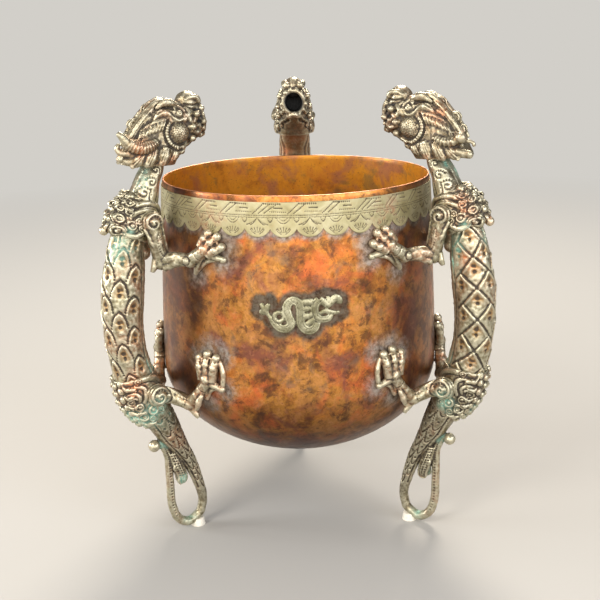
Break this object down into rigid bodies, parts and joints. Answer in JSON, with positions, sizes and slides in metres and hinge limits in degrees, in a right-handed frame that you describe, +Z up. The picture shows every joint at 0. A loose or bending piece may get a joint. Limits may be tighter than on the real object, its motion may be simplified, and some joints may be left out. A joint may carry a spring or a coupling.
{
  "type": "censer",
  "caption": "Deep round copper bowl with an engraved scalloped rim band and a small cast dragon in front, carried by cast dragons whose looped tails are its feet.",
  "frame": {"origin": "on the bowl's axis, in the plane of the three foot pads' undersides", "axes": "+Z up along the bowl's axis, -Y towards the front with the small cast dragon, +Y towards the back dragon"},
  "size_m": [0.196, 0.1861, 0.2321],
  "materials": {
    "patinated_copper": "fire-coloured copper",
    "engraved_brass": "engraved, lightly tarnished",
    "pale_cast_brass": "cast, brushed bright",
    "aged_white_bronze": "cast, darkened in the hollows",
    "bumper_rubber": "milky moulded bumper"
  },
  "bodies": {
    "root": {"bowl": "patinated_copper", "rim_band": "engraved_brass", "front_emblem": "pale_cast_brass", "back_head": "aged_white_bronze", "back_neck": "aged_white_bronze", "back_mane_collar": "aged_white_bronze", "back_trunk": "aged_white_bronze", "back_hip_collar": "aged_white_bronze", "back_tail": "aged_white_bronze", "back_foot_pad": "bumper_rubber", "back_foreleg_a": "aged_white_bronze", "back_foreleg_b": "aged_white_bronze", "back_hindleg_a": "aged_white_bronze", "back_hindleg_b": "aged_white_bronze", "left_head": "aged_white_bronze", "left_neck": "aged_white_bronze", "left_mane_collar": "aged_white_bronze", "left_trunk": "aged_white_bronze", "left_hip_collar": "aged_white_bronze", "left_tail": "aged_white_bronze", "left_foot_pad": "bumper_rubber", "left_foreleg_a": "aged_white_bronze", "left_foreleg_b": "aged_white_bronze", "left_hindleg_a": "aged_white_bronze", "left_hindleg_b": "aged_white_bronze", "right_head": "aged_white_bronze", "right_neck": "aged_white_bronze", "right_mane_collar": "aged_white_bronze", "right_trunk": "aged_white_bronze", "right_hip_collar": "aged_white_bronze", "right_tail": "aged_white_bronze", "right_foot_pad": "bumper_rubber", "right_foreleg_a": "aged_white_bronze", "right_foreleg_b": "aged_white_bronze", "right_hindleg_a": "aged_white_bronze", "right_hindleg_b": "aged_white_bronze"}
  },
  "joints": []
}
